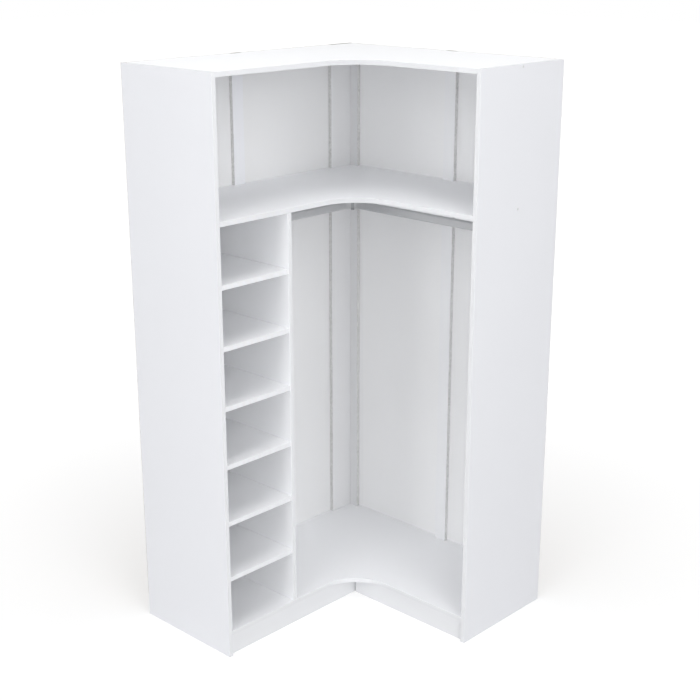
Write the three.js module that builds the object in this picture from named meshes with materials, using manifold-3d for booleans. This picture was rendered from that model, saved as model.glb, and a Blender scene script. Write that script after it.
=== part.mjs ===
import * as THREE from "three";
import { mergeVertices } from "three/addons/utils/BufferGeometryUtils.js";
import Module from "manifold-3d";

// An open corner wardrobe in white faced board. It stands in a room corner on two wings that meet at a
// right angle. Three L-shaped boards with a rounded inner corner (top, hat shelf and floor) run through
// both wings between two full-height end panels. The left-hand wing holds a column of fixed shelves, and
// an oval hanging rail bent round the corner serves the rest.
//
// Millimetres, +Z up. The origin is on the floor under the middle of the outline. The room corner is at
// -X, +Y: the left-hand wing runs from it towards -Y and opens towards +X, and the right-hand wing runs
// from it towards +X and opens towards -Y.

// Driving dimensions
const unitHeight = 2000;
const leftWingLength = 1082;
const rightWingLength = 980;
const panelDepth = 445;
const boardThickness = 16;
const backSheetThickness = 3;
const innerCornerRadius = 150;
const upperBayHeight = 446;
const columnWidth = 295;
const columnShelfCount = 6;
const columnShelfSetback = 2;

// Clearances of the assembly
const fitGap = 0.25;
const cutOverrun = 2;

// Plinth and the bearers under the floor board
const plinthHeight = 80;
const plinthSetback = 12;
const plinthCornerGap = 6;
const cleatLength = 60;
const rearBearerInset = 60;

// Battens that stiffen the back, and the back sheets that they join
const battenWidth = 50;
const wideCornerBattenWidth = 120;
const narrowCornerBattenWidth = 37;
const backSheetReveal = 2;

// Hanging rail: an upright oval tube, its end sockets and its hanger at the corner
const railHeight = 30;
const railWidth = 15;
const railWall = 1.2;
const railDrop = 79.5;
const railDistanceFromWall = 225;
const railBendRadius = 55;
const railClearance = 0.3;
const railSegments = 8;
const railBendSteps = 12;
const socketDepth = 14;
const socketWall = 2;
const socketFlangeThickness = 2;
const socketFlangeHeight = 60;
const socketFlangeWidth = 20;
const fixingHoleRadius = 2;
const fixingHoleMargin = 6;
const hangerWidth = 12;
const hangerWall = 2;
const hangerRingClearance = 0.8;
const hangerStemThickness = 5;
const hangerFlangeLength = 48;

// Connecting screws through the right-hand end panel
const screwDistanceFromWall = 230;
const screwLength = 50;
const screwHeadRadius = 4.5;
const screwHeadDepth = 3;
const screwNeckRadius = 3.4;
const screwNeckLength = 14;
const screwThreadRadius = 2.5;
const screwTipLength = 4;
const screwSocketRadius = 2.3;
const screwSocketDepth = 2.5;
const screwClearance = 0.3;

const roundSegments = 24;
const cornerSegments = 24;
const quarterTurn = Math.PI / 2;

// Planes worked out from the driving dimensions. Distances out are from a wing's own wall, distances
// along are from the room corner, and heights are from the floor.
const rearPlane = backSheetThickness + fitGap;
const frontPlane = rearPlane + panelDepth;
const battenFront = rearPlane + boardThickness;
const leftPanelInner = leftWingLength - boardThickness;
const rightPanelInner = rightWingLength - boardThickness;
const topUnderside = unitHeight - boardThickness;
const hatShelfTop = topUnderside - upperBayHeight;
const hatShelfUnderside = hatShelfTop - boardThickness;
const floorTop = plinthHeight + boardThickness;
const dividerOuter = leftPanelInner - columnWidth;
const dividerInner = dividerOuter - boardThickness;
const railCentreHeight = hatShelfUnderside - railDrop;
const plinthFront = frontPlane - plinthSetback;
const plinthRear = plinthFront - boardThickness;
const underFloor = [0, plinthHeight - fitGap];

const wasm = await Module();
wasm.setup();

// The whole wardrobe, held in a group whose own origin is the room corner at floor level
const wardrobe = new THREE.Group();
const fromRoomCorner = new THREE.Group();
fromRoomCorner.position.set(-rightWingLength / 2, leftWingLength / 2, 0);
wardrobe.add(fromRoomCorner);

// Finishes of the real pieces
const finishes = {
  facedBoard: { color: 0xe9ebee, roughness: 0.5, metalness: 0 },
  backSheet: { color: 0xd9dcdf, roughness: 0.6, metalness: 0 },
  satinSteel: { color: 0xa3a6aa, roughness: 0.35, metalness: 0.9 },
  zincCasting: { color: 0x9a9da1, roughness: 0.45, metalness: 0.8 },
};

function addPiece(name, finish, geometry, position = [0, 0, 0], turn = 0) {
  const piece = new THREE.Mesh(geometry, new THREE.MeshStandardMaterial(finishes[finish]));
  piece.name = name;
  piece.position.set(...position);
  piece.rotation.z = turn;
  fromRoomCorner.add(piece);
  return piece;
}

// A closed geometry as a solid that can be joined and cut
function solidOf(geometry) {
  const bare = new THREE.BufferGeometry();
  bare.setAttribute("position", geometry.getAttribute("position"));
  bare.setIndex(geometry.index);
  const merged = mergeVertices(bare);
  return new wasm.Manifold(
    new wasm.Mesh({
      numProp: 3,
      vertProperties: merged.getAttribute("position").array,
      triVerts: new Uint32Array(merged.index.array),
    }),
  );
}

function geometryOf(solid) {
  const mesh = solid.getMesh();
  const geometry = new THREE.BufferGeometry();
  geometry.setAttribute("position", new THREE.BufferAttribute(mesh.vertProperties, 3));
  geometry.setIndex(new THREE.BufferAttribute(mesh.triVerts, 1));
  return geometry;
}

function joined(...geometries) {
  return geometryOf(geometries.map(solidOf).reduce((sum, next) => sum.add(next)));
}

function cut(geometry, ...tools) {
  const whole = solidOf(geometry);
  return geometryOf(tools.map(solidOf).reduce((rest, tool) => rest.subtract(tool), whole));
}

// A block between two planes on each axis, in the frame of the room corner
function block([x0, x1], [y0, y1], [z0, z1]) {
  const geometry = new THREE.BoxGeometry(x1 - x0, y1 - y0, z1 - z0);
  return geometry.translate((x0 + x1) / 2, (y0 + y1) / 2, (z0 + z1) / 2);
}

function leftWingBlock(along, out, up) {
  return block(out, [-along[1], -along[0]], up);
}

function rightWingBlock(along, out, up) {
  return block(along, [-out[1], -out[0]], up);
}

// A span widened by the same amount at both ends
function widened([from, to], margin) {
  return [from - margin, to + margin];
}

// Connecting screw: countersunk head, smooth neck and a thinner threaded part, its head facing +Y.
// A positive margin gives the hole that clears it.
function screwBody(margin) {
  const profile = [
    [0, -screwLength - margin],
    [screwThreadRadius / 2 + margin, -screwLength - margin],
    [screwThreadRadius + margin, -screwLength + screwTipLength],
    [screwThreadRadius + margin, -screwNeckLength - margin],
    [screwNeckRadius + margin, -screwNeckLength - margin],
    [screwNeckRadius + margin, -screwHeadDepth - margin],
    [screwHeadRadius + margin, 0],
  ];
  if (margin > 0) {
    profile.push([screwHeadRadius + margin, cutOverrun]);
    profile.push([0, cutOverrun]);
  } else {
    profile.push([0, 0]);
  }
  const points = profile.map(([radius, height]) => new THREE.Vector2(radius, height));
  return new THREE.LatheGeometry(points, roundSegments);
}

function screwSocket() {
  const depth = screwSocketDepth + cutOverrun;
  const hexagon = new THREE.CylinderGeometry(screwSocketRadius, screwSocketRadius, depth, 6);
  return hexagon.translate(0, cutOverrun - depth / 2, 0);
}

const screwHeights = {
  top: topUnderside + boardThickness / 2,
  hat: hatShelfUnderside + boardThickness / 2,
};

// The head lies a hair below the panel's outer face
function screwPlace(height) {
  return [rightWingLength - screwClearance, -screwDistanceFromWall, height];
}

function screwHole(height) {
  return screwBody(screwClearance)
    .rotateZ(-quarterTurn)
    .translate(...screwPlace(height));
}

// Battens: two in the room corner, and one on each wing half way from there to the end panel
const fullHeight = [0, unitHeight];
const underTop = [0, topUnderside - fitGap];
const battenOut = [rearPlane, battenFront];
const wideCornerAlong = [rearPlane, rearPlane + wideCornerBattenWidth];
const narrowCornerStart = battenFront + fitGap;
const narrowCornerAlong = [narrowCornerStart, narrowCornerStart + narrowCornerBattenWidth];
const leftBattenCentre = (wideCornerAlong[1] + leftPanelInner) / 2;
const rightBattenCentre = (narrowCornerAlong[1] + rightPanelInner) / 2;

function battenSpan(centre) {
  return [centre - battenWidth / 2, centre + battenWidth / 2];
}

const battens = {
  left_batten: { wing: leftWingBlock, along: battenSpan(leftBattenCentre), up: fullHeight },
  corner_batten_wide: { wing: leftWingBlock, along: wideCornerAlong, up: fullHeight },
  corner_batten_narrow: { wing: rightWingBlock, along: narrowCornerAlong, up: underTop },
  right_batten: { wing: rightWingBlock, along: battenSpan(rightBattenCentre), up: fullHeight },
};

function battenNotch({ wing, along, up }) {
  return wing(widened(along, fitGap), [rearPlane - cutOverrun, battenFront + fitGap], up);
}

// L-shaped board with the rounded inner corner, notched at the rear where battens pass
function cornerBoard(underside, ...tools) {
  const leftEnd = leftPanelInner - fitGap;
  const rightEnd = rightPanelInner - fitGap;
  const arcCentre = frontPlane + innerCornerRadius;
  const outline = new THREE.Shape();
  outline.moveTo(rearPlane, -rearPlane);
  outline.lineTo(rearPlane, -leftEnd);
  outline.lineTo(frontPlane, -leftEnd);
  outline.lineTo(frontPlane, -arcCentre);
  outline.absarc(arcCentre, -arcCentre, innerCornerRadius, Math.PI, quarterTurn, true);
  outline.lineTo(rightEnd, -frontPlane);
  outline.lineTo(rightEnd, -rearPlane);
  outline.closePath();
  const slab = new THREE.ExtrudeGeometry(outline, {
    depth: boardThickness,
    bevelEnabled: false,
    curveSegments: cornerSegments,
  });
  slab.translate(0, 0, underside);
  const passing = Object.values(battens).filter(({ up }) => up[1] > underside);
  return cut(slab, ...passing.map(battenNotch), ...tools);
}

function addCornerBoards() {
  addPiece("top_board", "facedBoard", cornerBoard(topUnderside, screwHole(screwHeights.top)));
  addPiece("hat_shelf", "facedBoard", cornerBoard(hatShelfUnderside, screwHole(screwHeights.hat)));
  addPiece("floor_board", "facedBoard", cornerBoard(plinthHeight));
}

function addEndPanels() {
  const out = [rearPlane, frontPlane];
  const left = leftWingBlock([leftPanelInner, leftWingLength], out, fullHeight);
  addPiece("left_end_panel", "facedBoard", left);
  const right = rightWingBlock([rightPanelInner, rightWingLength], out, fullHeight);
  const drilled = cut(right, ...Object.values(screwHeights).map(screwHole));
  addPiece("right_end_panel", "facedBoard", drilled);
}

// Divider and the column of fixed shelves that it closes off
function addShelfColumn() {
  const up = [floorTop + fitGap, hatShelfUnderside - fitGap];
  const divider = leftWingBlock([dividerInner, dividerOuter], [rearPlane, frontPlane], up);
  addPiece("divider_panel", "facedBoard", divider);

  const clearHeight = hatShelfUnderside - floorTop - columnShelfCount * boardThickness;
  const pitch = clearHeight / (columnShelfCount + 1) + boardThickness;
  const along = [dividerOuter + fitGap, leftPanelInner - fitGap];
  const out = [rearPlane, frontPlane - columnShelfSetback];
  for (let number = 1; number <= columnShelfCount; number++) {
    const top = floorTop + number * pitch;
    const shelf = leftWingBlock(along, out, [top - boardThickness, top]);
    addPiece(`column_shelf_${number}`, "facedBoard", shelf);
  }
}

// Plinth boards at the front, the cleat that ties them at the inner corner, and two bearers at the rear
function addPlinth() {
  const plinthOut = [plinthRear, plinthFront];
  const leftEnd = leftPanelInner - fitGap;
  const rightEnd = rightPanelInner - fitGap;
  addPiece("left_plinth", "facedBoard", leftWingBlock([plinthRear, leftEnd], plinthOut, underFloor));
  const rightStart = plinthFront + plinthCornerGap;
  addPiece("right_plinth", "facedBoard", rightWingBlock([rightStart, rightEnd], plinthOut, underFloor));

  const cleatOut = [plinthRear - fitGap - boardThickness, plinthRear - fitGap];
  const cleatAlong = [plinthRear, plinthRear + cleatLength];
  addPiece("plinth_corner_cleat", "facedBoard", rightWingBlock(cleatAlong, cleatOut, underFloor));

  const bearerOut = [rearBearerInset, rearBearerInset + boardThickness];
  const leftBearer = leftWingBlock([rearBearerInset, leftEnd], bearerOut, underFloor);
  addPiece("left_rear_bearer", "facedBoard", leftBearer);
  const rightBearer = rightWingBlock([bearerOut[1] + fitGap, rightEnd], bearerOut, underFloor);
  addPiece("right_rear_bearer", "facedBoard", rightBearer);
}

function addBack() {
  for (const [name, { wing, along, up }] of Object.entries(battens)) {
    addPiece(name, "facedBoard", wing(along, battenOut, up));
  }
  const out = [0, backSheetThickness];
  const up = [plinthHeight, unitHeight];
  const sheets = {
    left_back_inner: [leftWingBlock, 0, leftBattenCentre - fitGap / 2],
    left_back_outer: [leftWingBlock, leftBattenCentre + fitGap / 2, leftWingLength - backSheetReveal],
    right_back_inner: [rightWingBlock, backSheetThickness + fitGap, rightBattenCentre - fitGap / 2],
    right_back_outer: [rightWingBlock, rightBattenCentre + fitGap / 2, rightWingLength - backSheetReveal],
  };
  for (const [name, [wing, from, to]] of Object.entries(sheets)) {
    addPiece(name, "backSheet", wing([from, to], out, up));
  }
}

// Upright oval: two half circles joined by straight sides, its long axis on the shape's X
function ovalPath(Path, length, width) {
  const radius = width / 2;
  const straight = length / 2 - radius;
  const oval = new Path();
  oval.absarc(straight, 0, radius, -quarterTurn, quarterTurn, false);
  oval.absarc(-straight, 0, radius, quarterTurn, 3 * quarterTurn, false);
  oval.closePath();
  return oval;
}

function ovalPrism(length, width, depth) {
  const outline = ovalPath(THREE.Shape, length, width);
  return new THREE.ExtrudeGeometry(outline, { depth, bevelEnabled: false, curveSegments: railSegments });
}

// Centre line of the rail: along the left-hand wing, round the bend and along the right-hand wing, with
// one station at each end, one at each end of the bend and equal steps round it
class RailPath extends THREE.Curve {
  constructor(leftEnd, rightEnd) {
    super();
    this.steps = railBendSteps + 2;
    this.leftEnd = leftEnd;
    this.rightEnd = rightEnd;
  }

  // Angle turned at a station, from none on the left-hand leg to a quarter turn on the right-hand one
  angle(share) {
    const bend = (share * this.steps - 1) / railBendSteps;
    return THREE.MathUtils.clamp(bend, 0, 1) * quarterTurn;
  }

  getPointAt(share) {
    const station = share * this.steps;
    const centre = railDistanceFromWall + railBendRadius;
    const turned = this.angle(share);
    const point = new THREE.Vector3(
      centre - railBendRadius * Math.cos(turned),
      -centre + railBendRadius * Math.sin(turned),
      railCentreHeight,
    );
    if (station < 1) point.y = THREE.MathUtils.lerp(-this.leftEnd, -centre, station);
    const last = station - 1 - railBendSteps;
    if (last > 0) point.x = THREE.MathUtils.lerp(centre, this.rightEnd, last);
    return point;
  }

  getTangentAt(share) {
    const turned = this.angle(share);
    return new THREE.Vector3(Math.sin(turned), Math.cos(turned), 0);
  }
}

function hangingRail() {
  const inset = socketFlangeThickness + fitGap + railClearance;
  const path = new RailPath(dividerInner - inset, rightPanelInner - inset);
  const section = ovalPath(THREE.Shape, railHeight, railWidth);
  section.holes.push(ovalPath(THREE.Path, railHeight - 2 * railWall, railWidth - 2 * railWall));
  return new THREE.ExtrudeGeometry(section, {
    steps: path.steps,
    extrudePath: path,
    curveSegments: railSegments,
  });
}

// Cast end socket: an oval cup on a long flange with two fixing holes. Its base is on the plane y = 0, it
// opens towards +Y and its long axis is upright.
function railSocket() {
  const cupHeight = railHeight + 2 * (railClearance + socketWall);
  const cupWidth = railWidth + 2 * (railClearance + socketWall);
  const flange = ovalPrism(socketFlangeHeight, socketFlangeWidth, socketFlangeThickness);
  const cup = ovalPrism(cupHeight, cupWidth, socketDepth);
  const boreDepth = socketDepth - socketFlangeThickness + cutOverrun;
  const bore = ovalPrism(railHeight + 2 * railClearance, railWidth + 2 * railClearance, boreDepth);
  bore.translate(0, 0, socketFlangeThickness);
  const holeLength = socketFlangeThickness + 2 * cutOverrun;
  const holes = [-1, 1].map((side) => {
    const hole = new THREE.CylinderGeometry(fixingHoleRadius, fixingHoleRadius, holeLength, roundSegments);
    hole.rotateX(quarterTurn);
    return hole.translate(side * (socketFlangeHeight / 2 - fixingHoleMargin), 0, socketFlangeThickness / 2);
  });
  const body = cut(joined(flange, cup), bore, ...holes);
  return body.rotateZ(quarterTurn).rotateX(-quarterTurn);
}

// Hanger at the middle of the bend: a ring round the rail, a stem and a flange screwed under the hat
// shelf. It lies across the rail, with the ring's centre at its origin.
function railHanger() {
  const ringHeight = railHeight + 2 * hangerRingClearance;
  const ringWidth = railWidth + 2 * hangerRingClearance;
  const reach = hatShelfUnderside - fitGap - railCentreHeight;
  const ring = ovalPrism(ringHeight + 2 * hangerWall, ringWidth + 2 * hangerWall, hangerWidth);
  const hole = ovalPrism(ringHeight, ringWidth, hangerWidth + 2 * cutOverrun).translate(0, 0, -cutOverrun);
  const stemFoot = ringHeight / 2 + hangerWall / 2;
  const halfStem = hangerStemThickness / 2;
  const stem = block([stemFoot, reach - hangerWall / 2], [-halfStem, halfStem], [0, hangerWidth]);
  const halfFlange = hangerFlangeLength / 2;
  const flange = block([reach - hangerWall, reach], [-halfFlange, halfFlange], [0, hangerWidth]);
  const holes = [-1, 1].map((side) => {
    const length = hangerWall + 2 * cutOverrun;
    const drill = new THREE.CylinderGeometry(fixingHoleRadius, fixingHoleRadius, length, roundSegments);
    drill.rotateZ(quarterTurn);
    return drill.translate(reach, side * (halfFlange - fixingHoleMargin), hangerWidth / 2);
  });
  const body = cut(joined(ring, stem, flange), hole, ...holes);
  return body
    .translate(0, 0, -hangerWidth / 2)
    .rotateZ(quarterTurn)
    .rotateX(quarterTurn);
}

function addRail() {
  addPiece("hanging_rail", "satinSteel", hangingRail());
  const dividerFace = [railDistanceFromWall, -(dividerInner - fitGap), railCentreHeight];
  addPiece("rail_socket_divider", "zincCasting", railSocket(), dividerFace);
  const panelFace = [rightPanelInner - fitGap, -railDistanceFromWall, railCentreHeight];
  addPiece("rail_socket_end_panel", "zincCasting", railSocket(), panelFace, quarterTurn);

  // The middle of the bend lies on the diagonal of the room corner
  const diagonalShare = 1 - Math.cos(quarterTurn / 2);
  const middle = railDistanceFromWall + railBendRadius * diagonalShare;
  const hangerPlace = [middle, -middle, railCentreHeight];
  addPiece("rail_hanger", "zincCasting", railHanger(), hangerPlace, -quarterTurn / 2);
}

function addScrews() {
  for (const [name, height] of Object.entries(screwHeights)) {
    const screw = cut(screwBody(0), screwSocket());
    addPiece(`connecting_screw_${name}`, "zincCasting", screw, screwPlace(height), -quarterTurn);
  }
}

addEndPanels();
addCornerBoards();
addShelfColumn();
addPlinth();
addBack();
addRail();
addScrews();

export default wardrobe;
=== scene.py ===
# %% [markdown]
# This lesson dresses an open corner wardrobe made of white faced board. The solid model is already
# built and packed, and it loads here as a fixed frame: every board stands where it belongs, in metres,
# with the room corner at -X and +Y. What is left is the look of each surface.

# %% Load the frame
import math

import bmesh
import bpy
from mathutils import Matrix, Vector


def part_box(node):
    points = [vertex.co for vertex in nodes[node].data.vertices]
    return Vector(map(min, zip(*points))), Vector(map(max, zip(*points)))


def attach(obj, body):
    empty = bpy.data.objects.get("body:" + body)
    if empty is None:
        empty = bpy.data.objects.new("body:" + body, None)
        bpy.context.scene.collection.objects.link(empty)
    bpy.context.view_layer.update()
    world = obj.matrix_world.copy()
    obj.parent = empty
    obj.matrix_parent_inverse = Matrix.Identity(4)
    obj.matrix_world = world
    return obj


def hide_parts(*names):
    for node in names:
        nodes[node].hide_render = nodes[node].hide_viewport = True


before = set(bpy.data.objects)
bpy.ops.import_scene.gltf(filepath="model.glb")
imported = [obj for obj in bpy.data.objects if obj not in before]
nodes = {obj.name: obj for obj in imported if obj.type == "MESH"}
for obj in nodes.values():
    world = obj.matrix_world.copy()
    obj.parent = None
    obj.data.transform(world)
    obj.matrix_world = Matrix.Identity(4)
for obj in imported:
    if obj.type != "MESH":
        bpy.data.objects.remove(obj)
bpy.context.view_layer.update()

# %% [markdown]
# The camera comes first, because every later choice is judged through it. It stands in front of the
# open corner, near its diagonal, so that both end panels show about as much of their faces. It is above
# head height and looks slightly down, and a long lens keeps the uprights nearly parallel.

# %% Set the camera
CAMERA_PLACE = Vector((2.9884, -3.1356, 2.4034))
CAMERA_AIM = Vector((0.2412, -0.2321, 1.1136))
CAMERA_LENS = 66.74
SENSOR_WIDTH = 36.0

camera_data = bpy.data.cameras.new("camera")
camera_data.lens = CAMERA_LENS
camera_data.sensor_width = SENSOR_WIDTH
camera = bpy.data.objects.new("camera", camera_data)
camera.location = CAMERA_PLACE
camera.rotation_mode = "QUATERNION"
camera.rotation_quaternion = (CAMERA_AIM - CAMERA_PLACE).to_track_quat("-Z", "Y")
bpy.context.collection.objects.link(camera)
bpy.context.scene.camera = camera
print("camera:", round((CAMERA_AIM - CAMERA_PLACE).length, 2), "m from what it looks at")

# %% [markdown]
# Finishes and repeated parts are both made of nodes, and long node recipes are hard to read. Two small
# classes make them read like sums. A Wire is an output socket that can be added, taken away or scaled,
# with numbers on either side, and each step adds a Math node. A Tree adds any other node: its settings
# are set first, because some of them change which sockets exist, and then the sockets get their values
# or their links.


# %% Wires and trees
class Wire:
    """An output socket that takes part in sums as a number does."""

    def __init__(self, tree, socket):
        self.tree = tree
        self.socket = socket

    def output(self, key):
        """Another output of the same node."""
        return Wire(self.tree, self.tree.find(self.socket.node.outputs, key))

    def sum(self, operation, first, second):
        return self.tree.add("ShaderNodeMath", {"operation": operation}, {0: first, 1: second})

    def __add__(self, other):
        return self.sum("ADD", self, other)

    def __sub__(self, other):
        return self.sum("SUBTRACT", self, other)

    def __rsub__(self, other):
        return self.sum("SUBTRACT", other, self)

    def __mul__(self, other):
        return self.sum("MULTIPLY", self, other)

    __radd__ = __add__
    __rmul__ = __mul__


class Tree:
    """A node tree that is filled by one method."""

    def __init__(self, tree):
        self.tree = tree

    @staticmethod
    def find(sockets, key):
        by_identifier = {socket.identifier: socket for socket in sockets}
        return by_identifier.get(key) or sockets[key]

    def add(self, kind, settings=None, inputs=None, output=0):
        """Adds a node of a kind, its settings before its sockets, and returns one of its outputs."""
        node = self.tree.nodes.new(kind)
        for name, value in (settings or {}).items():
            if name == "stops":
                stops = node.color_ramp.elements
                while len(stops) < len(value):
                    stops.new(1.0)
                for stop, (place, shade) in zip(stops, value):
                    stop.position = place
                    stop.color = (*shade, 1.0)
            else:
                setattr(node, name, value)
        for key, value in (inputs or {}).items():
            socket = self.find(node.inputs, key)
            if isinstance(value, Wire):
                self.tree.links.new(value.socket, socket)
            else:
                socket.default_value = value
        return Wire(self, self.find(node.outputs, output)) if node.outputs else None

    def blend(self, share, first, second):
        """A colour between two colours."""
        inputs = {"Factor_Float": share, "A_Color": first, "B_Color": second}
        return self.add("ShaderNodeMix", {"data_type": "RGBA"}, inputs, "Result_Color")


print("node helpers:", Wire.__name__, "and", Tree.__name__)

# %% [markdown]
# Each finish is one Principled shader whose pattern lives in Object coordinates. All pieces keep their
# object at the origin, so those coordinates are real metres in the wardrobe's own frame, and a pattern
# runs on from board to board at the right scale. One function starts a finish and gives its place, and
# one ends it, so that the functions for the finishes hold only what makes each of them different.

# %% Start and end a finish
WHITE = (1.0, 1.0, 1.0, 1.0)


def start_finish(name):
    material = bpy.data.materials.new(name)
    material.use_nodes = True
    material.node_tree.nodes.clear()
    tree = Tree(material.node_tree)
    return material, tree, tree.add("ShaderNodeTexCoord", output="Object")


def stretched(tree, place, scale):
    """A place whose axes are scaled one by one, for patterns with a direction."""
    return tree.add("ShaderNodeMapping", inputs={"Vector": place, "Scale": scale})


def noise(tree, place, scale, detail=2.0):
    return tree.add("ShaderNodeTexNoise", inputs={"Vector": place, "Scale": scale, "Detail": detail})


def end_finish(tree, colour, roughness, height=None, depth=0.0, **constants):
    """Joins colour, roughness and surface relief to the shader. The relief's depth is in metres."""
    inputs = {"Base Color": colour, "Roughness": roughness, **constants}
    if height is not None:
        inputs["Normal"] = tree.add("ShaderNodeBump", inputs={"Height": height, "Distance": depth})
    surface = tree.add("ShaderNodeBsdfPrincipled", inputs=inputs)
    tree.add("ShaderNodeOutputMaterial", inputs={"Surface": surface})


finish_helpers = [helper.__name__ for helper in (start_finish, stretched, noise, end_finish)]
print("finish helpers:", finish_helpers)

# %% [markdown]
# The boards are chipboard under a white melamine film. The film is pressed against a plate with a very
# fine pearl texture, which breaks up its shine without showing as a pattern from a step away. So the
# colour barely moves, in wide soft clouds, and the fine texture goes into roughness and relief. The
# other facings are copies of the same white with painted shade in their colour: the end panels are
# painted greyer than the boards inside, the right-hand one more than the left, and the plinths and the
# battens in the room corner are painted greyest, for the shade that falls there.

# %% White facing
CLOUD_SCALE = 2.2
PEARL_SCALE = 620.0
PEARL_DEPTH = 0.00004
FACING_ROUGHNESS = 0.4
PEARL_ROUGHNESS = 0.12
# All but the first are copies of the white with painted shade.
FACING_SHADES = {
    "white_facing": ((0.92, 0.927, 0.945, 1.0), (0.935, 0.942, 0.96, 1.0)),
    "shaded_panel_facing": ((0.825, 0.833, 0.864, 1.0), (0.84, 0.848, 0.879, 1.0)),
    "shaded_right_panel_facing": ((0.795, 0.803, 0.833, 1.0), (0.81, 0.818, 0.848, 1.0)),
    "shaded_plinth_facing": ((0.778, 0.785, 0.802, 1.0), (0.793, 0.8, 0.817, 1.0)),
    "shaded_corner_facing": ((0.775, 0.778, 0.79, 1.0), (0.795, 0.798, 0.81, 1.0)),
}


def white_facing(name, dark, light):
    material, tree, place = start_finish(name)
    clouds = noise(tree, place, CLOUD_SCALE)
    pearl = noise(tree, place, PEARL_SCALE)
    colour = tree.blend(clouds, dark, light)
    end_finish(tree, colour, FACING_ROUGHNESS + pearl * PEARL_ROUGHNESS, pearl, PEARL_DEPTH)
    return material


facings = [white_facing(name, dark, light) for name, (dark, light) in FACING_SHADES.items()]
facing, shaded_panel_facing, shaded_right_panel_facing, shaded_plinth_facing, shaded_corner_facing = facings
print("facings:", [finish.name for finish in facings])

# %% [markdown]
# The front edges carry a thin plastic edging with fine level streaks in place of the pearl. Round the
# inner corner of a corner board a painted shade greys it, to hold down the light that the lamps throw on
# the bend. The way a surface faces tells where that is: its product with the diagonal of the corner is
# lowest on the straight runs and one in the middle of the bend. Shelves and plinths share one strip, the
# upright boards have one with painted shade, and the strips of the corner boards have painted shade too,
# mostly in the bend.

# %% White edging
STREAK_STRETCH = (30.0, 30.0, 400.0)
STREAK_DEPTH = 0.00003
EDGING_ROUGHNESS = 0.44
STREAK_ROUGHNESS = 0.1
EDGE_DARK = (0.805, 0.812, 0.83, 1.0)
EDGE_LIGHT = (0.825, 0.832, 0.85, 1.0)
# The greyer shades and both bend shades are painted shade.
SHADED_EDGE_DARK = (0.755, 0.762, 0.78, 1.0)
SHADED_EDGE_LIGHT = (0.775, 0.782, 0.8, 1.0)
EDGE_BEND_PAINTED_SHADE = (0.575, 0.582, 0.6, 1.0)
FOOT_BEND_PAINTED_SHADE = (0.75, 0.757, 0.775, 1.0)
BEND_WAY = Vector((1, -1, 0)).normalized()
STRAIGHT_PRODUCT = BEND_WAY.x


def bend_share(tree, place):
    """Zero on straight runs, rising to one in the middle of the bend."""
    ways = {0: place.output("Normal"), 1: BEND_WAY}
    product = tree.add("ShaderNodeVectorMath", {"operation": "DOT_PRODUCT"}, ways, "Value")
    span = {"Value": product, "From Min": STRAIGHT_PRODUCT, "From Max": 1.0}
    return tree.add("ShaderNodeMapRange", inputs=span)


def white_edging(name, dark, light, painted_bend_shade):
    material, tree, place = start_finish(name)
    streaks = noise(tree, stretched(tree, place, STREAK_STRETCH), 1.0)
    colour = tree.blend(bend_share(tree, place), tree.blend(streaks, dark, light), painted_bend_shade)
    end_finish(tree, colour, EDGING_ROUGHNESS + streaks * STREAK_ROUGHNESS, streaks, STREAK_DEPTH)
    return material


edging = white_edging("white_edging", EDGE_DARK, EDGE_LIGHT, EDGE_LIGHT)
shaded_panel_edging = white_edging("shaded_panel_edging", SHADED_EDGE_DARK, SHADED_EDGE_LIGHT, SHADED_EDGE_LIGHT)
shaded_bent_edging = white_edging("shaded_bent_edging", SHADED_EDGE_DARK, SHADED_EDGE_LIGHT, EDGE_BEND_PAINTED_SHADE)
shaded_foot_edging = white_edging("shaded_foot_edging", SHADED_EDGE_DARK, SHADED_EDGE_DARK, FOOT_BEND_PAINTED_SHADE)
print("edgings:", [finish.name for finish in (edging, shaded_panel_edging, shaded_bent_edging, shaded_foot_edging)])

# %% [markdown]
# Where a board is sawn and gets no edging, the chipboard shows: pale chips of many sizes in a darker
# binder. Two cell textures of different size make the chips, and the relief falls with the distance
# from the middle of each small cell, so that the binder lies deeper. From the front only the battens
# show it, along their sides and at their ends. Each sawn finish has a factor of its own: the right-hand
# batten's sides carry painted light, and the cross-cut ends carry painted shade, for the dark seams at
# the battens' ends.

# %% Sawn chipboard
COARSE_CHIP_SCALE = 330.0
FINE_CHIP_SCALE = 900.0
COARSE_CHIP_SHARE = 0.7
FINE_CHIP_SHARE = 0.3
CHIP_DEPTH = 0.0002
SAWN_ROUGHNESS = 0.85
CHIP_SHADES = [(0.1, (0.5, 0.5, 0.497)), (0.5, (0.62, 0.62, 0.617)), (0.9, (0.72, 0.72, 0.717))]
SIDE_FACTOR = 1.07
# The paler factor is painted light, and the end factor is painted shade.
PAINTED_LIGHT_SIDE_FACTOR = 1.34
PAINTED_SHADE_END_FACTOR = 0.6


def sawn_chipboard(name, factor):
    material, tree, place = start_finish(name)
    coarse = tree.add("ShaderNodeTexVoronoi", inputs={"Vector": place, "Scale": COARSE_CHIP_SCALE})
    fine = tree.add("ShaderNodeTexVoronoi", inputs={"Vector": place, "Scale": FINE_CHIP_SCALE})
    coarse_value = tree.add("ShaderNodeSeparateColor", inputs={"Color": coarse.output("Color")})
    chips = coarse_value * COARSE_CHIP_SHARE + fine * FINE_CHIP_SHARE
    stops = [(stop, [factor * part for part in shade]) for stop, shade in CHIP_SHADES]
    colour = tree.add("ShaderNodeValToRGB", {"stops": stops}, {"Fac": chips})
    end_finish(tree, colour, SAWN_ROUGHNESS, 1.0 - fine, CHIP_DEPTH)
    return material


chipboard = sawn_chipboard("sawn_chipboard", SIDE_FACTOR)
painted_light_chipboard = sawn_chipboard("painted_light_chipboard", PAINTED_LIGHT_SIDE_FACTOR)
shaded_cut_end = sawn_chipboard("shaded_cut_end", PAINTED_SHADE_END_FACTOR)
print("sawn finishes:", [finish.name for finish in (chipboard, painted_light_chipboard, shaded_cut_end)])
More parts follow.
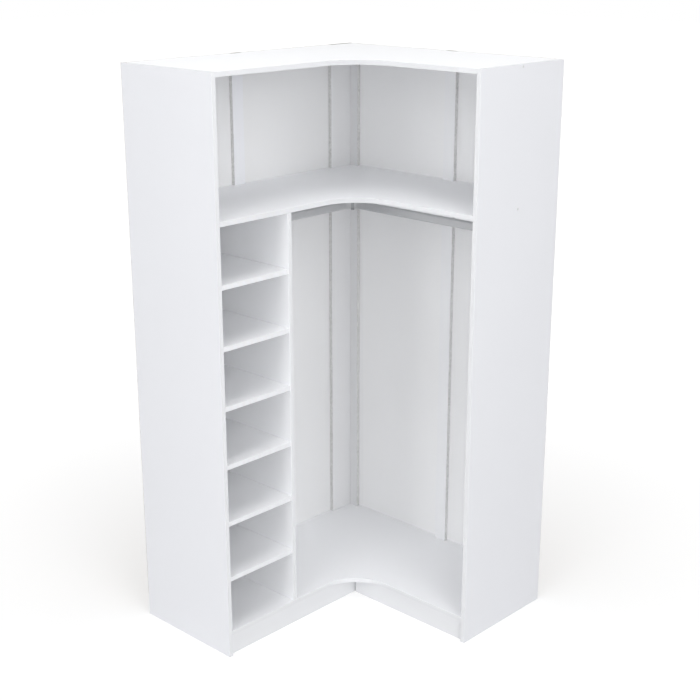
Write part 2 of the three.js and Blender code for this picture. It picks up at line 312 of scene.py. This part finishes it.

# %% [markdown]
# The back sheets are 3 mm hardboard. Its inside is painted white, thinner and flatter than the facing
# of the boards. Its white carries painted shade in the left-hand wing and painted light in the
# right-hand one. The felt of the fibres shows through the paint as a fine relief, and the colour moves
# in wide soft clouds as that of the facing does.

# %% Painted hardboard
PAINT_CLOUD_SCALE = 3.0
PAINT_FELT_SCALE = 480.0
PAINT_FELT_DEPTH = 0.00003
PAINT_ROUGHNESS = 0.5
PAINT_FELT_ROUGHNESS = 0.12
# The left-hand white has painted shade, and the right-hand white has painted light.
SHADED_LEFT_PAINT = ((0.81, 0.813, 0.82, 1.0), (0.83, 0.833, 0.84, 1.0))
LIT_RIGHT_PAINT = ((0.935, 0.938, 0.945, 1.0), (0.95, 0.953, 0.96, 1.0))


def painted_hardboard(name, dark, light):
    material, tree, place = start_finish(name)
    clouds = noise(tree, place, PAINT_CLOUD_SCALE)
    felt = noise(tree, place, PAINT_FELT_SCALE, detail=3.0)
    colour = tree.blend(clouds, dark, light)
    roughness = PAINT_ROUGHNESS + felt * PAINT_FELT_ROUGHNESS
    end_finish(tree, colour, roughness, felt, PAINT_FELT_DEPTH)
    return material


shaded_left_paint = painted_hardboard("shaded_left_paint", *SHADED_LEFT_PAINT)
lit_right_paint = painted_hardboard("lit_right_paint", *LIT_RIGHT_PAINT)
print("painted sheets:", [shaded_left_paint.name, lit_right_paint.name])

# %% [markdown]
# The outside of the sheets is left plain: brown pressed fibre, with soft blotches and short darker
# fibres. Stretching a noise along one axis gives fibres, and two of them at right angles look felted.
# A ramp turns the mix of blotches and felt into three browns.

# %% Bare hardboard
BLOTCH_SCALE = 9.0
UPRIGHT_STRETCH = (500.0, 500.0, 60.0)
LEVEL_STRETCH = (60.0, 60.0, 500.0)
BLOTCH_SHARE = 0.55
FELT_SHARE = 0.45
FELT_DEPTH = 0.00015
BARE_ROUGHNESS = 0.62
FELT_ROUGHNESS = 0.2
BROWNS = [(0.3, (0.23, 0.15, 0.09)), (0.5, (0.33, 0.23, 0.145)), (0.7, (0.42, 0.31, 0.205))]


def bare_hardboard():
    material, tree, place = start_finish("bare_hardboard")
    blotches = noise(tree, place, BLOTCH_SCALE, detail=4.0)
    upright = noise(tree, stretched(tree, place, UPRIGHT_STRETCH), 1.0)
    level = noise(tree, stretched(tree, place, LEVEL_STRETCH), 1.0)
    felt = upright * 0.5 + level * 0.5
    mixed = blotches * BLOTCH_SHARE + felt * FELT_SHARE
    colour = tree.add("ShaderNodeValToRGB", {"stops": BROWNS}, {"Fac": mixed})
    end_finish(tree, colour, BARE_ROUGHNESS + felt * FELT_ROUGHNESS, felt, FELT_DEPTH)
    return material


bare_sheet = bare_hardboard()
print("bare sheet:", bare_sheet.name)

# %% [markdown]
# The hanging rail is a satin steel tube, drawn lengthwise, so its fine lines follow it round the bend:
# they read an attribute that the rail's own geometry tree stores, with the place in the section and the
# distance along the tube. In the bend it is greyed by painted shade, for the shade of the corner under
# the hat shelf, and the same share tells where as on the edging.

# %% Satin tube
DRAWN_STRETCH = (1500.0, 1500.0, 5.0)
DRAWN_DEPTH = 0.00002
TUBE_ROUGHNESS = 0.6
DRAWN_ROUGHNESS = 0.14
TUBE_DARK = (0.59, 0.595, 0.605, 1.0)
TUBE_LIGHT = (0.66, 0.665, 0.675, 1.0)
# Painted shade for the bend.
TUBE_BEND_PAINTED_SHADE = (0.5, 0.505, 0.515, 1.0)


def satin_tube():
    material, tree, place = start_finish("satin_tube")
    attribute = {"attribute_name": "along_rail"}
    along = tree.add("ShaderNodeAttribute", attribute, output="Vector")
    lines = noise(tree, stretched(tree, along, DRAWN_STRETCH), 1.0, detail=3.0)
    drawn = tree.blend(lines, TUBE_DARK, TUBE_LIGHT)
    colour = tree.blend(bend_share(tree, place), drawn, TUBE_BEND_PAINTED_SHADE)
    roughness = TUBE_ROUGHNESS + lines * DRAWN_ROUGHNESS
    end_finish(tree, colour, roughness, lines, DRAWN_DEPTH, Metallic=1.0)
    return material


rail_steel = satin_tube()
print("rail finish:", rail_steel.name)

# %% [markdown]
# The end sockets and the hanger are zinc castings with a faint grain, made darker than dull zinc by
# painted shade, so that the hanger shows the shade under the hat shelf at the bend. The screws and nails
# are plated and brighter. Both are the same recipe with other shades. Caps of white plastic, smooth
# enough to need no relief, hide the fittings in the boards.

# %% Castings, plating and plastic
GRAIN_DEPTH = 0.00004
GRAIN_ROUGHNESS = 0.15
# The casting's shades carry painted shade.
SHADED_CASTING = {
    "dark": (0.26, 0.265, 0.275, 1.0), "light": (0.33, 0.335, 0.345, 1.0),
    "roughness": 0.55, "grain_scale": 700.0,
}
PLATING = {
    "dark": (0.64, 0.645, 0.655, 1.0), "light": (0.76, 0.765, 0.77, 1.0),
    "roughness": 0.35, "grain_scale": 1100.0,
}
PLASTIC_DARK = (0.79, 0.795, 0.8, 1.0)
PLASTIC_LIGHT = (0.83, 0.835, 0.84, 1.0)
PLASTIC_SPECKLE_SCALE = 900.0
PLASTIC_ROUGHNESS = 0.35
SPECKLE_ROUGHNESS = 0.1


def grained_metal(name, dark, light, roughness, grain_scale):
    material, tree, place = start_finish(name)
    grain = noise(tree, place, grain_scale, detail=3.0)
    colour = tree.blend(grain, dark, light)
    end_finish(tree, colour, roughness + grain * GRAIN_ROUGHNESS, grain, GRAIN_DEPTH, Metallic=1.0)
    return material


def white_plastic():
    material, tree, place = start_finish("white_plastic")
    speckle = noise(tree, place, PLASTIC_SPECKLE_SCALE)
    colour = tree.blend(speckle, PLASTIC_DARK, PLASTIC_LIGHT)
    end_finish(tree, colour, PLASTIC_ROUGHNESS + speckle * SPECKLE_ROUGHNESS)
    return material


shaded_zinc_casting = grained_metal("shaded_zinc_casting", **SHADED_CASTING)
zinc_plating = grained_metal("zinc_plating", **PLATING)
cap_plastic = white_plastic()
print("small finishes:", [shaded_zinc_casting.name, zinc_plating.name, cap_plastic.name])

# %% [markdown]
# A frame node is a bag of loose triangles, so a dressed board starts from a copy of it: the corners are
# merged, flat sides become whole faces, and each side gets its finish by the way it faces. A Bevel
# modifier then breaks the arrises. A real edging is scraped to a radius of half a millimetre, too small
# to see as a shape but wide enough to catch light, and hardened normals keep the flats truly flat.

# %% Dress a board
ARRIS_RADIUS = 0.0004
ARRIS_SEGMENTS = 2
MERGE_DISTANCE = 0.000005
FLAT_ANGLE = math.radians(0.5)
SHARP_ANGLE = math.radians(30.0)
SIDE_PRODUCT = 0.5
SIDES = {
    "+x": Vector((1, 0, 0)), "-x": Vector((-1, 0, 0)),
    "+y": Vector((0, 1, 0)), "-y": Vector((0, -1, 0)),
    "+z": Vector((0, 0, 1)), "-z": Vector((0, 0, -1)),
}


def merged_copy(node, name):
    """A new object with a node's shape, its corners merged and its flat sides whole."""
    source = nodes[node].data
    mesh = bpy.data.meshes.new(name)
    mesh.from_pydata([v.co for v in source.vertices], [], [list(p.vertices) for p in source.polygons])
    form = bmesh.new()
    form.from_mesh(mesh)
    bmesh.ops.remove_doubles(form, verts=form.verts, dist=MERGE_DISTANCE)
    bmesh.ops.dissolve_limit(form, angle_limit=FLAT_ANGLE, verts=form.verts, edges=form.edges)
    for face in form.faces:
        face.smooth = True
    form.to_mesh(mesh)
    form.free()
    piece = bpy.data.objects.new(name, mesh)
    bpy.context.collection.objects.link(piece)
    return piece


def settle(piece):
    """Turns a piece with its modifiers into a plain mesh, and returns the piece."""
    graph = bpy.context.evaluated_depsgraph_get()
    shown = piece.evaluated_get(graph)
    mesh = bpy.data.meshes.new_from_object(shown, preserve_all_data_layers=True, depsgraph=graph)
    piece.modifiers.clear()
    piece.data = mesh
    return piece


def break_arrises(piece, radius):
    bevel = piece.modifiers.new("arrises", "BEVEL")
    bevel.width = radius
    bevel.segments = ARRIS_SEGMENTS
    bevel.limit_method = "ANGLE"
    bevel.angle_limit = SHARP_ANGLE
    bevel.harden_normals = True


def carry(piece, slot, *replaced):
    """Makes a piece part of the wardrobe, in place of the nodes that it stands for."""
    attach(piece, "root")
    if replaced:
        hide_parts(*replaced)


def dress(node, slot, finishes, radius=ARRIS_RADIUS):
    """A dressed copy of a node. The first finish covers it, and each other one has its own sides."""
    piece = merged_copy(node, f"{node}_dressed")
    for finish in finishes:
        piece.data.materials.append(finish)
    for face in piece.data.polygons:
        for index, sides in enumerate(finishes.values()):
            if any(face.normal.dot(SIDES[side]) > SIDE_PRODUCT for side in sides):
                face.material_index = index
    break_arrises(piece, radius)
    settle(piece)
    carry(piece, slot, node)


print("dressing: arrises", ARRIS_RADIUS * 1000, "mm, sides", list(SIDES))

# %% [markdown]
# The boards differ only in which sides carry edging and which are left sawn. End panels, divider,
# shelves and the three corner boards have edging in front, where the left wing faces +X and the right
# wing faces -Y. Their rear edges are hidden by the back sheets, and the feet stand on the floor.

# %% Boards
SHELF_COUNT = 6
BOARD_SIDES = {
    "left_end_panel": {shaded_panel_edging: ("+x", "+z"), chipboard: ("-x", "-z")},
    "right_end_panel": {shaded_panel_edging: ("-y", "+z"), chipboard: ("+y", "-z")},
    "divider_panel": {shaded_panel_edging: ("+x",), chipboard: ("-x", "+z", "-z")},
    "left_plinth": {edging: ("+y",), chipboard: ("-y", "-z")},
    "right_plinth": {edging: ("-x",), chipboard: ("+x", "-z")},
    "plinth_corner_cleat": {chipboard: ("+x", "-x", "-z")},
    "left_rear_bearer": {chipboard: ("+y", "-y", "-z")},
    "right_rear_bearer": {chipboard: ("+x", "-x", "-z")},
}
CORNER_STRIPS = {"top_board": shaded_bent_edging, "hat_shelf": shaded_bent_edging, "floor_board": shaded_foot_edging}
for corner_board, strip in CORNER_STRIPS.items():
    BOARD_SIDES[corner_board] = {strip: ("+x", "-y"), chipboard: ("-x", "+y")}
for number in range(1, SHELF_COUNT + 1):
    BOARD_SIDES[f"column_shelf_{number}"] = {edging: ("+x",), chipboard: ("-x", "+y", "-y")}

# End panels and plinths take the facings with painted shade.
COVERS = {
    "left_end_panel": shaded_panel_facing,
    "right_end_panel": shaded_right_panel_facing,
    "left_plinth": shaded_plinth_facing,
    "right_plinth": shaded_plinth_facing,
}
for node, sides in BOARD_SIDES.items():
    dress(node, "faced_board", {COVERS.get(node, facing): (), **sides})
print("boards:", len(BOARD_SIDES), "dressed, with arrises of", ARRIS_RADIUS * 1000, "mm")

# %% [markdown]
# Four upright battens stiffen the back, two of them in the room corner. They are strips sawn from
# offcuts of the faced boards. Their whites differ by painted shade: the corner pair and the left one
# take greyer copies of the facing. Nobody looks at their long sides, so these and the ends stay raw and
# read as darker lines beside the white face, partly from the raw board and partly from painted shade.
# The back sheets run behind them: painted inside, bare outside.

# %% Battens and back sheets
SHEET_ARRIS_RADIUS = 0.0002
# The left and corner battens' faces carry painted shade, and the right one's sides painted light.
BATTENS = {
    "left_batten": (shaded_panel_facing, chipboard, ("+y", "-y")),
    "right_batten": (facing, painted_light_chipboard, ("+x", "-x")),
    "corner_batten_wide": (shaded_corner_facing, chipboard, ("+y", "-y")),
    "corner_batten_narrow": (shaded_corner_facing, chipboard, ("+x", "-x")),
}
for node, (face_finish, side_finish, long_sides) in BATTENS.items():
    dress(node, "batten", {face_finish: (), side_finish: long_sides, shaded_cut_end: ("+z", "-z")})

# The left-hand sheets carry painted shade in their white, and the right-hand ones painted light.
SHEETS = {
    "left_back_inner": (shaded_left_paint, "+x"),
    "left_back_outer": (shaded_left_paint, "+x"),
    "right_back_inner": (lit_right_paint, "-y"),
    "right_back_outer": (lit_right_paint, "-y"),
}
for node, (paint, inside) in SHEETS.items():
    dress(node, "back_sheet", {bare_sheet: (), paint: (inside,)}, SHEET_ARRIS_RADIUS)
print("back:", len(BATTENS), "battens and", len(SHEETS), "sheets")

# %% [markdown]
# Sockets, hanger and connecting screws already have their real shapes in the frame: castings with
# screw holes, and countersunk screws with a hexagon socket. They only need merged corners, softer
# arrises and their metals.

# %% Fittings
CASTING_ARRIS_RADIUS = 0.0003
SCREW_ARRIS_RADIUS = 0.0001
for node in ("rail_socket_divider", "rail_socket_end_panel", "rail_hanger"):
    dress(node, "rail_fittings", {shaded_zinc_casting: ()}, CASTING_ARRIS_RADIUS)
for node in ("connecting_screw_top", "connecting_screw_hat"):
    dress(node, "screws", {zinc_plating: ()}, SCREW_ARRIS_RADIUS)
print("fittings: two sockets, a hanger and two screws")

# %% [markdown]
# What follows a path or repeats is made by Geometry Nodes. A geometry tree takes a start mesh and named
# sizes. It is put on an object as a modifier, its inputs are set by their identifiers, and the result
# is turned into a plain mesh, so that nothing in the finished wardrobe depends on a live modifier.


# %% Geometry trees
def geometry_tree(name, sizes):
    """A tree with a start mesh and named sizes as inputs, and one mesh as output."""
    group = bpy.data.node_groups.new(name, "GeometryNodeTree")
    group.interface.new_socket("Mesh", in_out="INPUT", socket_type="NodeSocketGeometry")
    for label, kind in sizes.items():
        group.interface.new_socket(label, in_out="INPUT", socket_type=f"NodeSocket{kind}")
    group.interface.new_socket("Mesh", in_out="OUTPUT", socket_type="NodeSocketGeometry")
    tree = Tree(group)
    return tree, tree.add("NodeGroupInput", output="Mesh")


def end_tree(tree, geometry, finish):
    """Realizes the result, gives it its finish and sends it out."""
    real = tree.add("GeometryNodeRealizeInstances", inputs={"Geometry": geometry})
    finished = tree.add("GeometryNodeSetMaterial", inputs={"Geometry": real, "Material": finish})
    tree.add("NodeGroupOutput", inputs={"Mesh": finished})


def grow(name, tree, start, sizes):
    """An object whose start mesh is shaped by a tree, with its sizes set. The modifier is still live."""
    piece = bpy.data.objects.new(name, start)
    bpy.context.collection.objects.link(piece)
    modifier = piece.modifiers.new("shape", "NODES")
    modifier.node_group = tree.tree
    for item in tree.tree.interface.items_tree:
        if item.in_out == "INPUT" and item.name in sizes:
            modifier[item.identifier] = sizes[item.name]
    return piece


def wire_mesh(name, points, edges=()):
    mesh = bpy.data.meshes.new(name)
    mesh.from_pydata(points, edges, [])
    return mesh


tree_helpers = [helper.__name__ for helper in (geometry_tree, end_tree, grow, wire_mesh)]
print("geometry helpers:", tree_helpers)

# %% [markdown]
# The hanging rail is one oval tube, bent round the corner. A line of three points gives its route, and
# rounding the middle one gives the bend. The section is a rectangle whose corners are rounded until its
# short sides are half circles. Before the sweep each curve stores its own measure: the section keeps
# its place, and the route its distance. Together they are the attribute that the satin finish reads.
# A Solidify modifier then gives the tube its wall.

# %% Hanging rail
RAIL_WIDTH = 0.015
RAIL_WALL = 0.0012
RAIL_BEND_RADIUS = 0.055
RAIL_BEND_STEPS = 32
RAIL_SECTION_STEPS = 12


def stored(tree, geometry, name, kind, value):
    """Geometry with a value stored on its points under a name."""
    inputs = {"Geometry": geometry, "Name": name, "Value": value}
    return tree.add("GeometryNodeStoreNamedAttribute", {"data_type": kind, "domain": "POINT"}, inputs)


def recalled(tree, name, kind):
    inputs = {"Name": name}
    return tree.add("GeometryNodeInputNamedAttribute", {"data_type": kind}, inputs, "Attribute")


def rounded(tree, curve, radius, steps):
    inputs = {"Curve": curve, "Radius": radius, "Count": steps}
    return tree.add("GeometryNodeFilletCurve", {"mode": "POLY"}, inputs)


def rail_tree():
    sizes = {"Height": "Float", "Width": "Float", "Bend Radius": "Float"}
    tree, route = geometry_tree("rail sweep", sizes)
    width = route.output("Width")
    line = tree.add("GeometryNodeMeshToCurve", inputs={"Mesh": route})
    bent = rounded(tree, line, route.output("Bend Radius"), RAIL_BEND_STEPS)
    upright = tree.add("GeometryNodeSetCurveNormal", {"mode": "Z_UP"}, {"Curve": bent})
    distance = tree.add("GeometryNodeSplineParameter", output="Length")
    path = stored(tree, upright, "distance", "FLOAT", distance)

    box_sizes = {"Width": width, "Height": route.output("Height")}
    box = tree.add("GeometryNodeCurvePrimitiveQuadrilateral", inputs=box_sizes)
    oval = rounded(tree, box, width * 0.5, RAIL_SECTION_STEPS)
    place = tree.add("GeometryNodeInputPosition")
    section = stored(tree, oval, "section", "FLOAT_VECTOR", place)

    swept = tree.add("GeometryNodeCurveToMesh", inputs={"Curve": path, "Profile Curve": section})
    across = tree.add("ShaderNodeSeparateXYZ", inputs={"Vector": recalled(tree, "section", "FLOAT_VECTOR")})
    along_inputs = {"X": across, "Y": across.output("Y"), "Z": recalled(tree, "distance", "FLOAT")}
    along = tree.add("ShaderNodeCombineXYZ", inputs=along_inputs)
    marked = stored(tree, swept, "along_rail", "FLOAT_VECTOR", along)
    seamless = {"Geometry": marked, "Distance": MERGE_DISTANCE}
    closed = tree.add("GeometryNodeMergeByDistance", inputs=seamless)
    smooth = tree.add("GeometryNodeSetShadeSmooth", inputs={"Geometry": closed})
    end_tree(tree, smooth, rail_steel)
    return tree


rail_low, rail_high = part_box("hanging_rail")
rail_level = (rail_low.z + rail_high.z) / 2
rail_left = rail_low.x + RAIL_WIDTH / 2
rail_back = rail_high.y - RAIL_WIDTH / 2
rail_route = [
    (rail_left, rail_low.y, rail_level),
    (rail_left, rail_back, rail_level),
    (rail_high.x, rail_back, rail_level),
]
rail_sizes = {"Height": rail_high.z - rail_low.z, "Width": RAIL_WIDTH, "Bend Radius": RAIL_BEND_RADIUS}
rail_start = wire_mesh("rail route", rail_route, [(0, 1), (1, 2)])
rail = grow("hanging_rail_dressed", rail_tree(), rail_start, rail_sizes)
wall = rail.modifiers.new("wall", "SOLIDIFY")
wall.thickness = RAIL_WALL
wall.offset = -1.0
settle(rail)
rail.data.set_sharp_from_angle(angle=SHARP_ANGLE)
carry(rail, "rail_tube", "hanging_rail")
print("rail:", len(rail.data.polygons), "faces,", round(rail.dimensions.z * 1000, 2), "mm high")

# %% [markdown]
# Nails, small screws and cap discs are all round heads in straight rows, so one tree makes them all. A
# row is an edge of the start mesh, and both its ends carry the way that the heads face. The tree spaces
# points evenly along each row and sets a head on every point. A head is a short cylinder in two storeys
# whose top is drawn in, which chamfers its rim, and half its height lies under the surface. It has a few
# dozen faces at most, because there are hundreds of them.


# %% Rows of heads
def heads_tree():
    sizes = {"Spacing": "Float", "Radius": "Float", "Height": "Float", "Top Share": "Float"}
    tree, rows = geometry_tree("rows of heads", {**sizes, "Sides": "Int", "Finish": "Material"})
    lines = tree.add("GeometryNodeMeshToCurve", inputs={"Mesh": rows})
    spacing = {"Curve": lines, "Length": rows.output("Spacing")}
    points = tree.add("GeometryNodeResampleCurve", {"mode": "LENGTH"}, spacing)

    form = {"Vertices": rows.output("Sides"), "Side Segments": 2}
    head_sizes = {**form, "Radius": rows.output("Radius"), "Depth": rows.output("Height")}
    head = tree.add("GeometryNodeMeshCylinder", inputs=head_sizes)
    drawn_in = {"Geometry": head, "Selection": head.output("Top"), "Scale": rows.output("Top Share")}
    chamfered = tree.add("GeometryNodeScaleElements", {"domain": "FACE"}, drawn_in)

    outward = {"Vector": recalled(tree, "outward", "FLOAT_VECTOR")}
    turn = tree.add("FunctionNodeAlignRotationToVector", {"axis": "Z"}, outward)
    placed = {"Points": points, "Instance": chamfered, "Rotation": turn}
    heads = tree.add("GeometryNodeInstanceOnPoints", inputs=placed)
    end_tree(tree, heads, rows.output("Finish"))
    return tree


heads = heads_tree()


def grow_heads(name, rows, slot, sizes):
    """One piece with all the heads of some rows. A row is its start, its end and the way out."""
    points = [point for start, end, _ in rows for point in (start, end)]
    edges = [(2 * row, 2 * row + 1) for row in range(len(rows))]
    start = wire_mesh(f"{name} rows", points, edges)
    outward = start.attributes.new("outward", "FLOAT_VECTOR", "POINT")
    for row, (_, _, way) in enumerate(rows):
        outward.data[2 * row].vector = way
        outward.data[2 * row + 1].vector = way
    piece = settle(grow(name, heads, start, sizes))
    carry(piece, slot)
    print(name + ":", len(rows), "rows,", len(piece.data.polygons), "faces")


# %% [markdown]
# The back sheets are nailed to the rear edges of the boards. Each sheet has a row of nails along its
# four sides, half a board's thickness in, which meets the end panel, the batten, the top and the floor
# board behind it. One more row across goes into the hat shelf, and one up the outer left sheet goes into
# the divider.

# %% Nails in the back
X, Y, Z = 0, 1, 2
top_low, top_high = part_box("top_board")
NAIL_INSET = (top_high.z - top_low.z) / 2
NAIL_SIZES = {"Spacing": 0.12, "Radius": 0.0024, "Height": 0.0008, "Top Share": 0.6, "Sides": 10}


def middle(node, axis):
    low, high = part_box(node)
    return (low[axis] + high[axis]) / 2


def sheet_rows(node):
    """Rows round a sheet, and one row across at the hat shelf. Left-hand sheets lie along Y."""
    low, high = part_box(node)
    left = node.startswith("left")
    along = Y if left else X
    outside = SIDES["-x"] if left else SIDES["+y"]
    face = low.x if left else high.y
    ends = [low[along] + NAIL_INSET, high[along] - NAIL_INSET]
    levels = [low.z + NAIL_INSET, middle("hat_shelf", Z), high.z - NAIL_INSET]

    def at(place, level):
        point = Vector((face, face, level))
        point[along] = place
        return point

    across = [(at(ends[0], level), at(ends[1], level), outside) for level in levels]
    upright = [(at(end, levels[0]), at(end, levels[-1]), outside) for end in ends]
    return across + upright


nail_rows = [row for node in SHEETS for row in sheet_rows(node)]
wall_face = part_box("left_back_outer")[0].x
divider_line = middle("divider_panel", Y)
divider_foot = Vector((wall_face, divider_line, middle("floor_board", Z)))
divider_head = Vector((wall_face, divider_line, middle("hat_shelf", Z)))
nail_rows.append((divider_foot, divider_head, SIDES["-x"]))
grow_heads("back_nails", nail_rows, "screws", {**NAIL_SIZES, "Finish": zinc_plating})

# %% [markdown]
# The boards that show no screw from outside are drawn together by cams, which sit in blind holes on the
# undersides, one near the front and one near the back of each joint. A disc of white plastic closes each
# hole. They only show from below, under the shelves, the hat shelf and the top.

# %% Caps over the cams
CAM_FROM_JOINT = 0.034
CAM_FROM_EDGE = 0.06
CAP_SIZES = {"Radius": 0.0085, "Height": 0.002, "Top Share": 0.93, "Sides": 32}
column_low, column_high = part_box("column_shelf_1")


def cap_row(node, joint, way):
    """Two caps under a board of the left wing, at a set distance from the joint at one of its ends."""
    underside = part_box(node)[0].z
    line = joint + way * CAM_FROM_JOINT
    rear = Vector((column_low.x + CAM_FROM_EDGE, line, underside))
    front = Vector((column_high.x - CAM_FROM_EDGE, line, underside))
    return rear, front, SIDES["-z"]


shelf_names = [f"column_shelf_{number}" for number in range(1, SHELF_COUNT + 1)]
cap_rows = [cap_row(node, column_low.y, 1) for node in (*shelf_names, "hat_shelf", "top_board")]
cap_rows += [cap_row(node, column_high.y, -1) for node in shelf_names]
cap_spacing = (cap_rows[0][1] - cap_rows[0][0]).length
cap_sizes = {**CAP_SIZES, "Spacing": cap_spacing, "Finish": cap_plastic}
grow_heads("cam_caps", cap_rows, "faced_board", cap_sizes)

# %% [markdown]
# The sockets and the hanger are each held by two small screws through the holes in their flanges. The
# socket flanges stand upright on the divider and on the right end panel, and the hanger's flange lies
# flat under the hat shelf, across the bend.

# %% Screws in the rail fittings
SOCKET_HOLE_REACH = 0.024
HANGER_HOLE_REACH = 0.018
FLANGE_THICKNESS = 0.002
FIXING_SIZES = {"Radius": 0.0034, "Height": 0.0016, "Top Share": 0.62, "Sides": 16}


def fixing_row(centre, direction, reach, outward):
    return centre - direction * reach, centre + direction * reach, outward


divider_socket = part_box("rail_socket_divider")
panel_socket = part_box("rail_socket_end_panel")
divider_seat = Vector((rail_left, divider_socket[0].y + FLANGE_THICKNESS, rail_level))
panel_seat = Vector((panel_socket[1].x - FLANGE_THICKNESS, rail_back, rail_level))
hanger_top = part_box("rail_hanger")[1].z - FLANGE_THICKNESS
hanger_seat = Vector((middle("rail_hanger", X), middle("rail_hanger", Y), hanger_top))
fixing_rows = [
    fixing_row(divider_seat, SIDES["+z"], SOCKET_HOLE_REACH, SIDES["+y"]),
    fixing_row(panel_seat, SIDES["+z"], SOCKET_HOLE_REACH, SIDES["-x"]),
    fixing_row(hanger_seat, BEND_WAY, HANGER_HOLE_REACH, SIDES["-z"]),
]
fixing_sizes = {**FIXING_SIZES, "Spacing": 2 * HANGER_HOLE_REACH, "Finish": zinc_plating}
grow_heads("fixing_screws", fixing_rows, "screws", fixing_sizes)

# %% [markdown]
# The studio is plain, and its floor comes first. Near the wardrobe the pale floor takes its shadow, and
# farther out it fades to plain white, so that no line shows where floor and room meet. That white is a
# glow that only the camera and reflections see, so it throws no light on the wardrobe.

# %% Floor
FLOOR_REACH = 30.0
FLOOR_DROP = 0.0003
FLOOR_COLOUR = (0.7, 0.7, 0.705, 1.0)
NEAR_GLOW_SHARE = 0.5
GLOW_STRENGTH = 1.1
FADE_START = 0.8
FADE_END = 3.0


def seen_directly(tree):
    """One where a ray comes from the camera or from a mirror-like surface, and none elsewhere."""
    path = tree.add("ShaderNodeLightPath", output="Is Camera Ray")
    return path + path.output("Is Glossy Ray") + path.output("Is Transmission Ray")


floor_mesh = bpy.data.meshes.new("floor")
floor_ways = [(-1, -1), (1, -1), (1, 1), (-1, 1)]
floor_corners = [(x * FLOOR_REACH, y * FLOOR_REACH, -FLOOR_DROP) for x, y in floor_ways]
floor_mesh.from_pydata(floor_corners, [], [(0, 1, 2, 3)])
floor = bpy.data.objects.new("floor", floor_mesh)
bpy.context.collection.objects.link(floor)
floor_finish, floor_nodes, floor_place = start_finish("floor")
floor_colour = floor_nodes.blend(seen_directly(floor_nodes), FLOOR_COLOUR, WHITE)
lit = floor_nodes.add("ShaderNodeBsdfDiffuse", inputs={"Color": floor_colour})
glow = floor_nodes.add("ShaderNodeEmission", inputs={"Color": WHITE, "Strength": GLOW_STRENGTH})
away = floor_nodes.add("ShaderNodeVectorMath", {"operation": "LENGTH"}, {0: floor_place}, "Value")
fade_sizes = {"From Min": FADE_START, "From Max": FADE_END, "To Min": NEAR_GLOW_SHARE}
fade = floor_nodes.add("ShaderNodeMapRange", inputs={"Value": away, **fade_sizes})
glow_share = seen_directly(floor_nodes) * fade
floor_shader = floor_nodes.add("ShaderNodeMixShader", inputs={0: glow_share, 1: lit, 2: glow})
floor_nodes.add("ShaderNodeOutputMaterial", inputs={"Surface": floor_shader})
floor_mesh.materials.append(floor_finish)
print("floor:", 2 * FLOOR_REACH, "m wide, plain white from", FADE_END, "m out")

# %% [markdown]
# A soft white room and six large soft lamps give the light. The lamps stand well away, because light
# from afar falls almost as strongly on the back of a bay as on the front edges. The strongest stands
# low in front, so the top board throws hardly any shadow into the bay under it. A second low one faces
# the right-hand wing, two high ones and one overhead light the upward faces, and the last one lights
# the back. As with the floor, the camera sees a plain white room, which lights the wardrobe only weakly.

# %% Room and lamps
ROOM_COLOUR = (0.985, 0.99, 1.0, 1.0)
ROOM_STRENGTH = 0.2
BODY_AIM = (-0.1, 0.1, 1.0)

# each lamp's place, the point that it faces, its width in metres and its power in watts
LAMPS = {
    "overhead": ((0.45, -0.6, 5.55), BODY_AIM, 3.6, 100.0),
    "front": ((6.54, -4.21, 2.11), BODY_AIM, 4.4, 216.0),
    "left": ((0.2, -9.0, 1.1), (0.2, 0.2, 1.0), 3.0, 140.0),
    "high left": ((1.69, -6.59, 5.0), BODY_AIM, 4.4, 127.0),
    "high right": ((6.59, -1.69, 5.0), BODY_AIM, 4.4, 172.0),
    "behind": ((-4.2, 4.2, 1.0), (0.0, 0.0, 1.0), 2.0, 155.0),
}

room = bpy.data.worlds.new("room")
room.use_nodes = True
room.node_tree.nodes.clear()
room_nodes = Tree(room.node_tree)
seen = seen_directly(room_nodes)
room_strength = seen + (1.0 - seen) * ROOM_STRENGTH
room_colour = room_nodes.blend(seen, ROOM_COLOUR, WHITE)
room_light = {"Color": room_colour, "Strength": room_strength}
background = room_nodes.add("ShaderNodeBackground", inputs=room_light)
room_nodes.add("ShaderNodeOutputWorld", inputs={"Surface": background})
bpy.context.scene.world = room


def soft_lamp(name, place, aim, size, power):
    data = bpy.data.lights.new(name, "AREA")
    data.shape = "DISK"
    data.size = size
    data.energy = power
    lamp = bpy.data.objects.new(name, data)
    lamp.location = place
    lamp.rotation_mode = "QUATERNION"
    lamp.rotation_quaternion = (Vector(aim) - Vector(place)).to_track_quat("-Z", "Y")
    lamp.visible_camera = False
    bpy.context.collection.objects.link(lamp)


for name, (place, aim, size, power) in LAMPS.items():
    soft_lamp(name, place, aim, size, power)
bpy.context.scene.view_settings.view_transform = "Standard"
print("studio:", len(LAMPS), "lamps, room strength", ROOM_STRENGTH)
